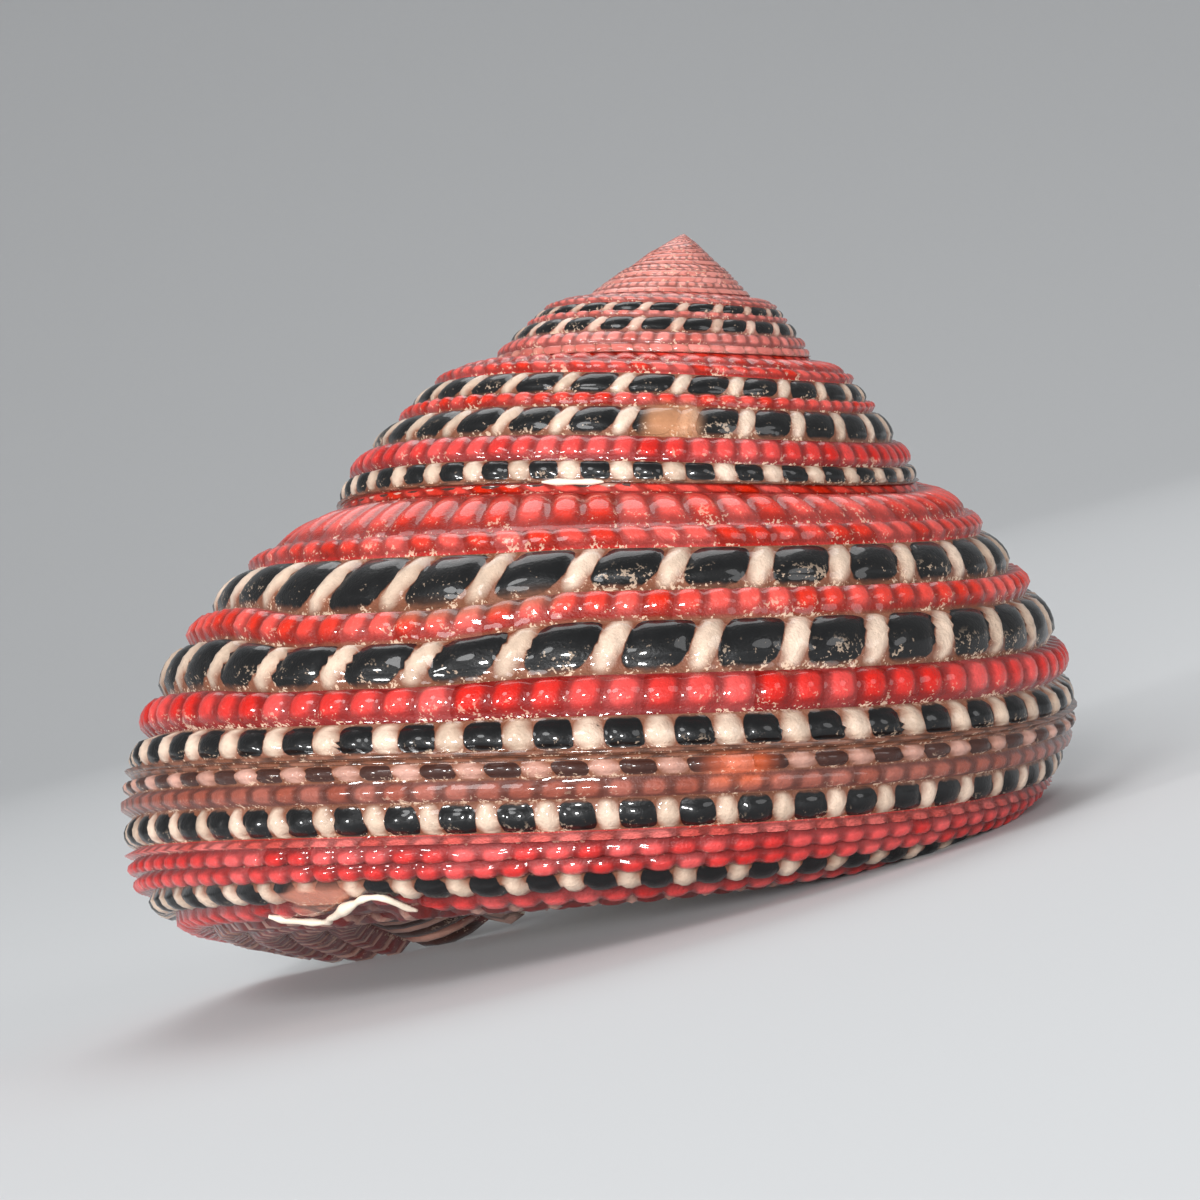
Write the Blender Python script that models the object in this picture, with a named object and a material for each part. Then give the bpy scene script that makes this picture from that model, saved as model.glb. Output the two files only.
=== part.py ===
"""Strawberry top shell, a small thick spiral sea shell that grew as one piece.

The shell is modelled the way it grew: a section of beaded cords is carried round the axis,
growing wider and deeper all the time, and each whorl is welded to the one before along the
suture.  The last whorl is closed by a beaded base, a narrow umbilicus and an open mouth.
"""
import math

import bmesh
import bpy
from mathutils import Vector

MM = 0.001

# The spiral is counted in columns of points, COLUMNS_PER_TURN to a turn.  Turn 0 is one whorl
# before turn 1, where the last whorl begins to show its base.
COLUMNS_PER_TURN = 76
TIP = -304
MOUTH = 122
SMALL_BEFORE = -52
TINY_BEFORE = -128
RADIAL_RATE = 0.585
RADIAL_SLOWING = 0.040
AXIAL_RATE = 0.720
TIP_DEPTH = -0.10
TIP_EASE = 0.6

# How much deeper the whorls run on one side of the axis: the spire leans, the last whorl hardly
SPIRE_LEAN = 0.033
BODY_LEAN = -0.009

# How many columns the mouth's upper end leads its lower end
LIP_LEAD = 6

# The cords, from the upper suture down: name, height, and the radius from the axis and the depth
# below the spiral's pole of their crests at turns 0, 0.5, 1 and 1.5, in millimetres
SUTURE = ("suture", 0.0, (5.74, 4.98), (7.55, 7.04), (9.66, 10.05), (12.00, 13.22))
SIDE_CORDS = (
    ("shoulder_cord", 0.26, (3.86, 2.62), (5.14, 3.62), (6.74, 5.56), (8.86, 7.60)),
    ("upper_checks", 0.20, (4.34, 3.06), (5.86, 4.28), (7.64, 6.42), (9.95, 8.56)),
    ("thin_cord", 0.26, (4.73, 3.46), (6.38, 4.92), (8.38, 7.20), (10.80, 9.78)),
    ("middle_checks", 0.22, (5.16, 3.94), (6.90, 5.50), (8.96, 8.00), (11.30, 10.70)),
    ("strong_cord", 0.30, (5.53, 4.42), (7.33, 6.10), (9.38, 8.84), (11.74, 11.76)),
    ("lower_checks", 0.22, (5.66, 4.74), (7.48, 6.62), (9.58, 9.68), (11.92, 12.72)),
)
BASE_CORDS = (
    ("brown_cord", 0.20, None, None, (9.62, 10.52), (12.04, 13.72)),
    ("rim_checks", 0.24, None, None, (9.40, 11.26), (11.95, 14.58)),
    ("crimson_cord", 0.24, None, None, (9.08, 11.88), (11.80, 15.30)),
    ("bead_cord", 0.18, None, None, (8.72, 12.26), (11.60, 15.78)),
    ("base_checks", 0.20, None, None, (8.10, 12.60), (11.10, 16.30)),
    ("pink_cord", 0.22, None, None, (7.25, 12.87), (10.28, 16.70)),
    ("outer_base_cord", 0.20, None, None, (6.25, 13.02), (8.90, 16.82)),
    ("inner_base_cord", 0.20, None, None, (5.10, 13.00), (7.30, 16.66)),
    ("umbilical_cord", 0.24, None, None, (3.80, 12.66), (5.40, 16.14)),
)
UMBILICUS = ("umbilicus", 0.0, None, None, (2.35, 12.05), (3.05, 15.30))
UMBILICUS_TOP = 16
PILLAR_STEPS = (0.30, 0.65)
GROOVE = 0.12
LOW_BEAD = 0.4

# The hollow behind the mouth, and the columns it runs back
HOLLOW_COLUMNS = 26
WALL = 0.95
LIP_WALL = 0.72
LIP_RIDGE = 0.16
TOOTH_HEIGHT = 0.8
TOOTH_COLUMNS = 5

# The healed break under the last half turn: its columns, its first cord and its depth
BREAK_FIRST, BREAK_LAST = 103, 110
BREAK_CORD = 5
BREAK_DEPTH = 0.30

# The way that is up when the shell lies on its base, in the frame of its axis, the height of the
# spiral's pole over the floor, and where the middle of the shell is from the pole
REST_UP = Vector((-0.3276, -0.0205, 0.9446))
REST_HEIGHT = 14.600
REST_MIDDLE = (-5.145, -0.905)

SHELL_COLOUR = (0.75, 0.16, 0.13, 1.0)
SHELL_ROUGHNESS = 0.32


def eased(start, end, start_rate, end_rate, share, span):
    """A smooth curve between two values that leaves and arrives at given rates."""
    squared, cubed = share * share, share * share * share
    return (
        start * (2 * cubed - 3 * squared + 1) + end * (3 * squared - 2 * cubed)
        + span * start_rate * (cubed - 2 * squared + share) + span * end_rate * (cubed - squared)
    )


def grown(sizes, rate, slowing, turn):
    """A size at a turn, from its values at turns 0, 0.5, 1 and 1.5.

    It grows by a steady share of itself, so the curve is drawn through the logarithms.
    """
    early, half, body, late = sizes
    if half is None:
        early, half = body * math.exp(slowing - rate), body * math.exp((0.75 * slowing - rate / 2))
    logs = [math.log(size) for size in (early, half, body, late)]
    rates = [rate]
    rates += [logs[key + 1] - logs[key - 1] for key in (1, 2)]
    rates.append(2 * (logs[3] - logs[2]))
    if turn < 0:
        return math.exp(logs[0] + rate * turn - slowing * turn * turn)
    if turn > 1.5:
        return math.exp(logs[3] + rates[3] * (turn - 1.5))
    key = min(2, int(turn * 2))
    share = turn * 2 - key
    return math.exp(eased(logs[key], logs[key + 1], rates[key], rates[key + 1], share, 0.5))


def on_spiral(cord, column):
    """Radius and depth of a cord at a column of the spiral, in millimetres."""
    turn = column / COLUMNS_PER_TURN
    keys = [key or (None, None) for key in cord[2:]]
    radius = grown([key[0] for key in keys], RADIAL_RATE, RADIAL_SLOWING, turn)
    depth = grown([key[1] for key in keys], AXIAL_RATE, 0.0, turn)
    settled = min(1.0, max(0.0, turn * 2 - 1))
    lean = SPIRE_LEAN + (BODY_LEAN - SPIRE_LEAN) * settled
    return Vector((radius, depth + lean * radius * math.cos(2 * math.pi * turn)))


def size_at(column):
    """Size of the shell's details at a column, against turn 1."""
    turn = column / COLUMNS_PER_TURN
    return math.exp(RADIAL_RATE * (turn - 1) - RADIAL_SLOWING * (turn * turn - 1))


def in_space(point, column):
    """A point of the section, carried round the axis to its column."""
    angle = 2 * math.pi * column / COLUMNS_PER_TURN
    return Vector((point.x * math.cos(angle), -point.x * math.sin(angle), -point.y))


def stride(column):
    """Small whorls are drawn with every second or fourth column."""
    if column < TINY_BEFORE:
        return 4
    return 2 if column < SMALL_BEFORE else 1


def base_stride(column):
    """The hidden back of the base is drawn with every second column."""
    return 2 if column < MOUTH + LIP_LEAD - COLUMNS_PER_TURN else 1


def suture_point(column):
    """The suture at a column, drawn in to a blunt point at the tip."""
    column = max(TIP, column - column % stride(column))
    point = on_spiral(SUTURE, column)
    ease = min(1.0, (column - TIP) / (TIP_EASE * COLUMNS_PER_TURN)) ** 0.5
    return Vector((point.x * ease, TIP_DEPTH + (point.y - TIP_DEPTH) * ease)), column


def umbilicus_point(column):
    """The umbilicus' margin at a column, drawn in to a point where the umbilicus ends inside."""
    column = max(UMBILICUS_TOP, column - column % base_stride(column))
    point = on_spiral(UMBILICUS, column)
    ease = min(1.0, (column - UMBILICUS_TOP) / (0.4 * COLUMNS_PER_TURN)) ** 0.5
    return Vector((point.x * ease, point.y)), column


def outward(before, after):
    """The section's normal, out of the shell, between two points that follow each other."""
    along = (after - before).normalized() if (after - before).length > 1e-9 else Vector((0, 0))
    return Vector((along.y, -along.x))


def smooth_section(column):
    """The section without beads, as lists of points, their columns and their cords' heights.

    It runs from the upper suture over the side, the base and the pillar beside the umbilicus.
    """
    upper, upper_column = suture_point(column + LIP_LEAD - COLUMNS_PER_TURN)
    lower, lower_column = suture_point(column)
    side = [(upper, upper_column + COLUMNS_PER_TURN, 0.0)]
    steps = len(SIDE_CORDS) + 1
    ease = min(1.0, max(0.0, column - TIP) / (TIP_EASE * COLUMNS_PER_TURN)) ** 0.5
    for number, cord in enumerate(SIDE_CORDS, 1):
        place = column + LIP_LEAD * (1 - number / steps)
        point = on_spiral(cord, place)
        point = Vector((point.x * ease, TIP_DEPTH + (point.y - TIP_DEPTH) * ease))
        side.append((point, place, cord[1]))
    side.append((lower, lower_column, 0.0))
    base = []
    for number, cord in enumerate(BASE_CORDS):
        sunk = Vector((0, break_depth(number, column)))
        base.append((on_spiral(cord, column) - sunk, column, cord[1]))
    margin, margin_column = umbilicus_point(column)
    inner, inner_column = umbilicus_point(column - COLUMNS_PER_TURN)
    pillar = [(margin, margin_column, 0.0)]
    pillar += [(margin.lerp(inner, share), column, 0.0) for share in PILLAR_STEPS]
    pillar.append((inner, inner_column + COLUMNS_PER_TURN, 0.0))
    return side, base, pillar


def break_depth(number, column):
    """How far the healed break is sunk at a base cord and a column."""
    inside = BREAK_FIRST <= column <= BREAK_LAST and number >= BREAK_CORD
    return BREAK_DEPTH if inside else 0.0


def corded(points, column, step):
    """Puts the cords and the grooves between them on a stretch of the section.

    Every second column's crests are lower, which cuts the cords into beads.
    """
    scale = size_at(column)
    bead = 1.0 if (column // step) % 2 == 0 else LOW_BEAD
    result = []
    for number, (point, place, height) in enumerate(points):
        before = points[max(0, number - 1)][0]
        after = points[min(len(points) - 1, number + 1)][0]
        normal = outward(before, after)
        result.append((point - normal * height * (1 - bead) * scale, place))
        following = points[number + 1:number + 2]
        if height and following and following[0][2]:
            middle = point.lerp(following[0][0], 0.5)
            depth = (height + following[0][2]) / 2 + GROOVE
            result.append((middle - normal * depth * scale, (place + following[0][1]) / 2))
    return result


def lay_strip(bm, columns):
    """A strip of surface through columns of points, all with the same number of points."""
    made = bmesh.ops.create_grid(bm, x_segments=len(columns[0]) - 1, y_segments=len(columns) - 1, size=1)
    flat = [point for column in columns for point in column]
    for vert, point in zip(made["verts"], flat):
        vert.co = point * MM


def grouped(points, groups):
    """Draws the points of each group together on the group's first point."""
    result = []
    for group in groups:
        result += [points[group[0]]] * len(group)
    return result


SMALL_GROUPS = ((0,), (1, 2), (3, 4), (5,), (6, 7), (8,), (9, 10), (11,), (12,))
TINY_GROUPS = ((0,), (1, 2, 3, 4), (5, 6, 7, 8), (9, 10, 11), (12,))


def side_column(column):
    """The points of the whorl's side at a column, between its two sutures."""
    side, base, pillar = smooth_section(column)
    points = [in_space(point, place) for point, place in corded(side, column, stride(column))]
    if column < TINY_BEFORE:
        return grouped(points, TINY_GROUPS)
    if column < SMALL_BEFORE:
        return grouped(points, SMALL_GROUPS)
    return points


def base_column(column):
    """The points of the base at a column, from its first cord to its last."""
    side, base, pillar = smooth_section(column)
    return [in_space(point, place) for point, place in corded(base, column, 1)]


def pillar_column(column):
    """The points of the umbilicus' wall at a column."""
    side, base, pillar = smooth_section(column)
    return [in_space(point, place) for point, place, height in pillar]


def inner_column(column):
    """The points of the hollow's wall at a column, each inside a point of the outer wall."""
    side, base, pillar = smooth_section(column)
    section = side + base + pillar
    from_mouth = MOUTH - column
    wall = LIP_WALL + (WALL - LIP_WALL) * min(1.0, from_mouth / 4)
    tooth = TOOTH_HEIGHT * max(0.0, 1 - from_mouth / TOOTH_COLUMNS)
    points = []
    for number in range(1, len(section) - 1):
        point, place, height = section[number]
        normal = outward(section[number - 1][0], section[number + 1][0])
        depth = wall
        if number % 2 and number < len(side) + len(base) - 2:
            depth += LIP_RIDGE
        if number == len(side) + len(base):
            depth += tooth
        points.append(in_space(point - normal * depth, place))
    return points


def build_shell():
    """The whole shell as one closed mesh, with its axis upright and the spiral's pole at the origin."""
    bm = bmesh.new()
    turn = COLUMNS_PER_TURN
    whorls = [column for column in range(TIP, MOUTH + 1) if column % stride(column) == 0]
    lay_strip(bm, [side_column(column) for column in whorls])

    mouth_top = MOUTH + LIP_LEAD - turn
    mouth_foot = MOUTH - turn
    back = mouth_foot - HOLLOW_COLUMNS
    coarse = list(range(back, mouth_top, 2))
    base = {column: base_column(column) for column in coarse + list(range(mouth_top, MOUTH + 1))}
    lay_strip(bm, list(base.values()))
    rim = [[in_space(*suture_point(column)), base[column][0]] for column in range(mouth_top, MOUTH + 1)]
    lay_strip(bm, rim)
    margin = [column for column in base if column >= mouth_foot]
    lay_strip(bm, [[base[column][-1], in_space(*umbilicus_point(column))] for column in margin])
    wall = list(range(UMBILICUS_TOP, mouth_top, 2)) + list(range(mouth_top, MOUTH + 1))
    lay_strip(bm, [pillar_column(column) for column in wall])

    inside = {}
    for column in range(MOUTH, MOUTH - HOLLOW_COLUMNS - 1, -2):
        top = base_column(column + LIP_LEAD - turn)[0]
        foot = base_column(column - turn)[-1]
        inside[column] = [top] + inner_column(column) + [foot]
    lay_strip(bm, list(inside.values()))
    outside = side_column(MOUTH) + base_column(MOUTH) + pillar_column(MOUTH)
    lay_lip(bm, outside, inside[MOUTH])

    bmesh.ops.remove_doubles(bm, verts=bm.verts, dist=0.002 * MM)
    rest = [edge for edge in bm.edges if edge.is_boundary]
    bmesh.ops.holes_fill(bm, edges=rest, sides=0)
    bmesh.ops.triangulate(bm, faces=bm.faces)
    bmesh.ops.recalc_face_normals(bm, faces=bm.faces)
    return bm


def lay_lip(bm, outside, inside):
    """The mouth's edge, from each point of the outer wall to the point of the inner wall behind it.

    A groove shares the inner point of the cord above it.
    """
    partners = []
    number = 0
    for stretch in smooth_section(MOUTH):
        heights = [height for point, place, height in stretch] + [0.0]
        for height, following in zip(heights, heights[1:]):
            partners.append(inside[number])
            if height and following:
                partners.append(inside[number])
            number += 1
    lay_strip(bm, [outside, partners])


def lay_down(bm):
    """Turns the shell to the way it lies, its middle over the origin, and wears its feet flat."""
    turn = REST_UP.rotation_difference(Vector((0, 0, 1)))
    for vert in bm.verts:
        vert.co = turn @ vert.co + Vector((-REST_MIDDLE[0], -REST_MIDDLE[1], REST_HEIGHT)) * MM
    everything = list(bm.verts) + list(bm.edges) + list(bm.faces)
    bmesh.ops.bisect_plane(bm, geom=everything, plane_co=(0, 0, 0), plane_no=(0, 0, 1), clear_inner=True)
    worn = [edge for edge in bm.edges if edge.is_boundary]
    bmesh.ops.holes_fill(bm, edges=worn, sides=0)
    bmesh.ops.dissolve_degenerate(bm, edges=bm.edges, dist=0.004 * MM)
    bmesh.ops.triangulate(bm, faces=bm.faces)
    bmesh.ops.recalc_face_normals(bm, faces=bm.faces)


def main():
    for old in list(bpy.data.objects):
        bpy.data.objects.remove(old, do_unlink=True)
    bm = build_shell()
    lay_down(bm)
    mesh = bpy.data.meshes.new("shell")
    bm.to_mesh(mesh)
    bm.free()
    material = bpy.data.materials.new("strawberry_shell")
    material.use_nodes = True
    surface = material.node_tree.nodes["Principled BSDF"]
    surface.inputs["Base Color"].default_value = SHELL_COLOUR
    surface.inputs["Roughness"].default_value = SHELL_ROUGHNESS
    mesh.materials.append(material)
    mesh.shade_smooth()
    mesh.set_sharp_from_angle(angle=math.radians(50))
    shell = bpy.data.objects.new("shell", mesh)
    bpy.context.scene.collection.objects.link(shell)


main()
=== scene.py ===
# %% [markdown]
# # A strawberry top shell
#
# A small sea snail builds this shell at its lip, a little every day, while it turns round its axis.
# The look is made the same way: a section with all its cords is carried round the axis, and beads
# and checks are laid along the cords by counting them as the snail does. A shape cut from a cone
# would need every bead placed by hand, and the beads would not grow with the shell.

# %% Load the frame
import math
from collections import namedtuple

import bmesh
import bpy
import numpy as np
from mathutils import Matrix, Vector

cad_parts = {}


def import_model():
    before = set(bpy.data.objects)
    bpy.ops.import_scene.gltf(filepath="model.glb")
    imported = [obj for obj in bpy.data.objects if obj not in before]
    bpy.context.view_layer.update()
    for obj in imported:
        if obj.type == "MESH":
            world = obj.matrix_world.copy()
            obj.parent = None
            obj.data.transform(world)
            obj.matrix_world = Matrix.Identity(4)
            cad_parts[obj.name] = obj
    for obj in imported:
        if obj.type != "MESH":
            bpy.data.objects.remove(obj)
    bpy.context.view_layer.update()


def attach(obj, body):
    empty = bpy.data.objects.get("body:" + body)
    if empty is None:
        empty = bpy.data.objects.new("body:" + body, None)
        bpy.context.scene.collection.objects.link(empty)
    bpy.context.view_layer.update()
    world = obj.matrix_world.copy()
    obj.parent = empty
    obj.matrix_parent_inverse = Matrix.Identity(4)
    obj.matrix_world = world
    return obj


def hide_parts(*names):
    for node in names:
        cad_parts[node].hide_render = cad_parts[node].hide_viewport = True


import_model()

# %% [markdown]
# ## How the shell grows
#
# A snail keeps its form while it grows, so each cord is a spiral whose radius and depth grow by a
# steady share of themselves. One rate for all would do for a smooth shell. Here a few measured sizes
# at turns 0, 0.5, 1 and 1.5 fix each cord, because real whorls swell a little unevenly, and a smooth
# curve through their logarithms gives the rest. The whorls above turn 0 follow one common rate. The
# spire leans a little to one side, and its oldest whorls are worn to a plain blunt cone.

# %% The spirals of the cords
MM = 0.001
# Turns are counted along the growth: the tip is the oldest place and the mouth the newest
TIP_TURN, MOUTH_TURN = -4.0, 122 / 76
RADIAL_RATE, RADIAL_SLOWING, AXIAL_RATE = 0.585, 0.040, 0.720
TIP_DEPTH, TIP_EASE, BLUNT_TIP = -0.10, 0.6, 0.40
SPIRE_LEAN, BODY_LEAN = 0.033, -0.009
LIP_LEAD = 6 / 76
# How far the whorls before WEAR_TURN are worn to a cone, and over how many turns that fades in
CONE_WEAR, WEAR_TURN, WEAR_SPAN = 0.85, -0.9, 0.6

# Radius and depth in millimetres at turns 0, 0.5, 1 and 1.5, for control points 1 to 17 of the
# section: from just below the upper suture to the margin of the navel
SUTURE = ((5.74, 4.98), (7.55, 7.04), (9.66, 10.05), (12.00, 13.22))
SECTION = (
    ((3.86, 2.62), (5.14, 3.62), (6.74, 5.56), (8.86, 7.60)),
    ((4.34, 3.06), (5.86, 4.28), (7.64, 6.42), (9.95, 8.56)),
    ((4.73, 3.46), (6.38, 4.92), (8.38, 7.20), (10.80, 9.78)),
    ((5.16, 3.94), (6.90, 5.50), (8.96, 8.00), (11.30, 10.70)),
    ((5.53, 4.42), (7.33, 6.10), (9.38, 8.84), (11.74, 11.76)),
    ((5.66, 4.74), (7.48, 6.62), (9.58, 9.68), (11.92, 12.72)),
    SUTURE,
    (None, None, (9.62, 10.52), (12.04, 13.72)),
    (None, None, (9.40, 11.26), (11.95, 14.58)),
    (None, None, (9.08, 11.88), (11.80, 15.30)),
    (None, None, (8.72, 12.26), (11.60, 15.78)),
    (None, None, (8.10, 12.60), (11.10, 16.30)),
    (None, None, (7.25, 12.87), (10.28, 16.70)),
    (None, None, (6.25, 13.02), (8.90, 16.82)),
    (None, None, (5.10, 13.00), (7.30, 16.66)),
    (None, None, (3.80, 12.66), (5.40, 16.14)),
    (None, None, (2.35, 12.05), (3.05, 15.30)),
)
LAST = len(SECTION)
SEAM = SECTION.index(SUTURE) + 1


def eased(start, end, start_rate, end_rate, share, span):
    """A smooth curve between two values that leaves and arrives at given rates."""
    squared, cubed = share ** 2, share ** 3
    return (
        start * (2 * cubed - 3 * squared + 1) + end * (3 * squared - 2 * cubed)
        + span * start_rate * (cubed - 2 * squared + share) + span * end_rate * (cubed - squared)
    )


def grown(sizes, rate, slowing, turn):
    """A size at each of many turns, from its values at turns 0, 0.5, 1 and 1.5."""
    early, half, body, late = sizes
    if half is None:
        early, half = body * math.exp(slowing - rate), body * math.exp(0.75 * slowing - rate / 2)
    logs = np.log([early, half, body, late])
    rates = np.array([rate, logs[2] - logs[0], logs[3] - logs[1], 2 * (logs[3] - logs[2])])
    key = np.clip((turn * 2).astype(int), 0, 2)
    inside = eased(logs[key], logs[key + 1], rates[key], rates[key + 1], turn * 2 - key, 0.5)
    before = logs[0] + rate * turn - slowing * turn ** 2
    after = logs[3] + rates[3] * (turn - 1.5)
    return np.exp(np.where(turn < 0, before, np.where(turn > 1.5, after, inside)))


def on_spiral(keys, turn):
    """Radius and depth of a cord at each of many turns, in millimetres."""
    keys = [key or (None, None) for key in keys]
    radius = grown([key[0] for key in keys], RADIAL_RATE, RADIAL_SLOWING, turn)
    depth = grown([key[1] for key in keys], AXIAL_RATE, 0.0, turn)
    settled = np.clip(turn * 2 - 1, 0, 1)
    lean = SPIRE_LEAN + (BODY_LEAN - SPIRE_LEAN) * settled
    return np.stack([radius, depth + lean * radius * np.cos(2 * np.pi * turn)], -1)


def size_at(turn):
    """Size of the shell's details at a turn, against turn 1."""
    return np.exp(RADIAL_RATE * (turn - 1) - RADIAL_SLOWING * (turn ** 2 - 1))


def before(turn, start, span):
    """Zero at a turn and later, and one from a span of turns before it."""
    return np.clip((start - turn) / span, 0, 1)


def control(number, turn):
    """A control point of the section at each turn; the oldest whorls are worn to a plain cone."""
    place = unworn(number, turn)
    if 0 < number < SEAM:
        worn = (CONE_WEAR * before(turn, WEAR_TURN, WEAR_SPAN))[..., None]
        upper, lower = unworn(0, turn), unworn(SEAM, turn)
        place = place + worn * (upper + (lower - upper) * number / SEAM - place)
    return place


def unworn(number, turn):
    """A control point before wear, drawn in to a blunt point at the tip."""
    if number < 0:
        return 2 * unworn(0, turn) - unworn(1, turn)
    shift = 1.0 if number == 0 else 0.0
    place = on_spiral(SUTURE if number == 0 else SECTION[min(number, LAST) - 1], turn - shift)
    place[..., 0] += BLUNT_TIP * np.exp(-place[..., 1] / 1.0)
    ease = np.clip((turn - shift - TIP_TURN) / TIP_EASE, 0, 1) ** 0.5
    tip = np.array([0.0, TIP_DEPTH])
    return tip + (place - tip) * ease[..., None]


def section(height, turn):
    """The section's place and outward normal at a height, counted in control points."""
    first = min(LAST - 1, int(height))
    share = height - first
    a, b, c, d = (control(first + step, turn) for step in (-1, 0, 1, 2))
    place = 0.5 * (
        2 * b + (c - a) * share + (2 * a - 5 * b + 4 * c - d) * share ** 2
        + (3 * b - a - 3 * c + d) * share ** 3
    )
    along = 0.5 * (
        (c - a) + 2 * (2 * a - 5 * b + 4 * c - d) * share + 3 * (3 * b - a - 3 * c + d) * share ** 2
    )
    along /= np.maximum(np.linalg.norm(along, axis=-1, keepdims=True), 1e-9)
    return place, np.stack([along[..., 1], -along[..., 0]], -1)


print("radius and depth of the strong cord at turn 1.25:", on_spiral(SECTION[4], np.array([1.25])).round(2))

# %% [markdown]
# ## The way it lies
#
# On a table the shell rolls on to its base, a little to one side, and the crests of its lowest cords
# are worn flat where it stands. It would be simpler to model it lying down, but then its axis would
# be oblique. So it is modelled round its own axis, and one turn and one move carry every point to
# the frame.

# %% From the axis to the frame
REST_UP = Vector((-0.3276, -0.0205, 0.9446)).normalized()
REST_HEIGHT = 14.600
REST_MIDDLE = (-5.145, -0.905)
REST_TURN = REST_UP.rotation_difference(Vector((0, 0, 1))).to_matrix()
REST_MOVE = Vector((-REST_MIDDLE[0], -REST_MIDDLE[1], REST_HEIGHT))
print("the axis leans", round(math.degrees(math.acos(REST_UP.z)), 1), "degrees from upright")


def laid_down(points):
    """Points in millimetres round the axis, as points of the frame in metres, worn flat below."""
    placed = points @ np.array(REST_TURN).T + np.array(REST_MOVE)
    placed[..., 2] = np.maximum(placed[..., 2], 0.0)
    return placed * MM


def round_axis(places, turn):
    """Places of the section, carried round the axis to their turns."""
    angle = 2 * np.pi * turn
    radius, depth = places[..., 0], places[..., 1]
    return np.stack([radius * np.cos(angle), -radius * np.sin(angle), -depth], -1)


# %% [markdown]
# ## The cords
#
# Every cord has its own beads. Plain cords carry round beads of one colour. Check cords carry pairs:
# a short light bead and a longer dark one. The numbers of beads to a turn are counted from what is
# seen, and they grow slowly with the shell. All cords stand in one table, because they differ only
# in numbers and colours, and the shape and the colours then come from the same rows.

# %% The table of cords


def paint(red, green, blue):
    """A colour as eyes see it, turned into amounts of light."""
    parts = [part / 255 for part in (red, green, blue)]
    return [part / 12.92 if part <= 0.04045 else ((part + 0.055) / 1.055) ** 2.4 for part in parts]


CORAL, CRIMSON, ROSE = paint(220, 58, 44), paint(210, 46, 40), paint(210, 88, 80)
CREAM, PINK_WHITE, BLACK = paint(212, 187, 166), paint(196, 148, 132), paint(3, 4, 6)
TAN, BROWN, DARK_RED = paint(128, 78, 56), paint(62, 32, 24), paint(120, 22, 20)
RUST, HEALED, BONE = paint(150, 78, 62), paint(202, 124, 98), paint(236, 220, 200)
MAROON, LOW_RED, DEEP_CORAL = paint(116, 30, 26), paint(208, 58, 56), paint(188, 40, 34)
APEX, PEARL = paint(216, 132, 120), paint(236, 222, 206)

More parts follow.
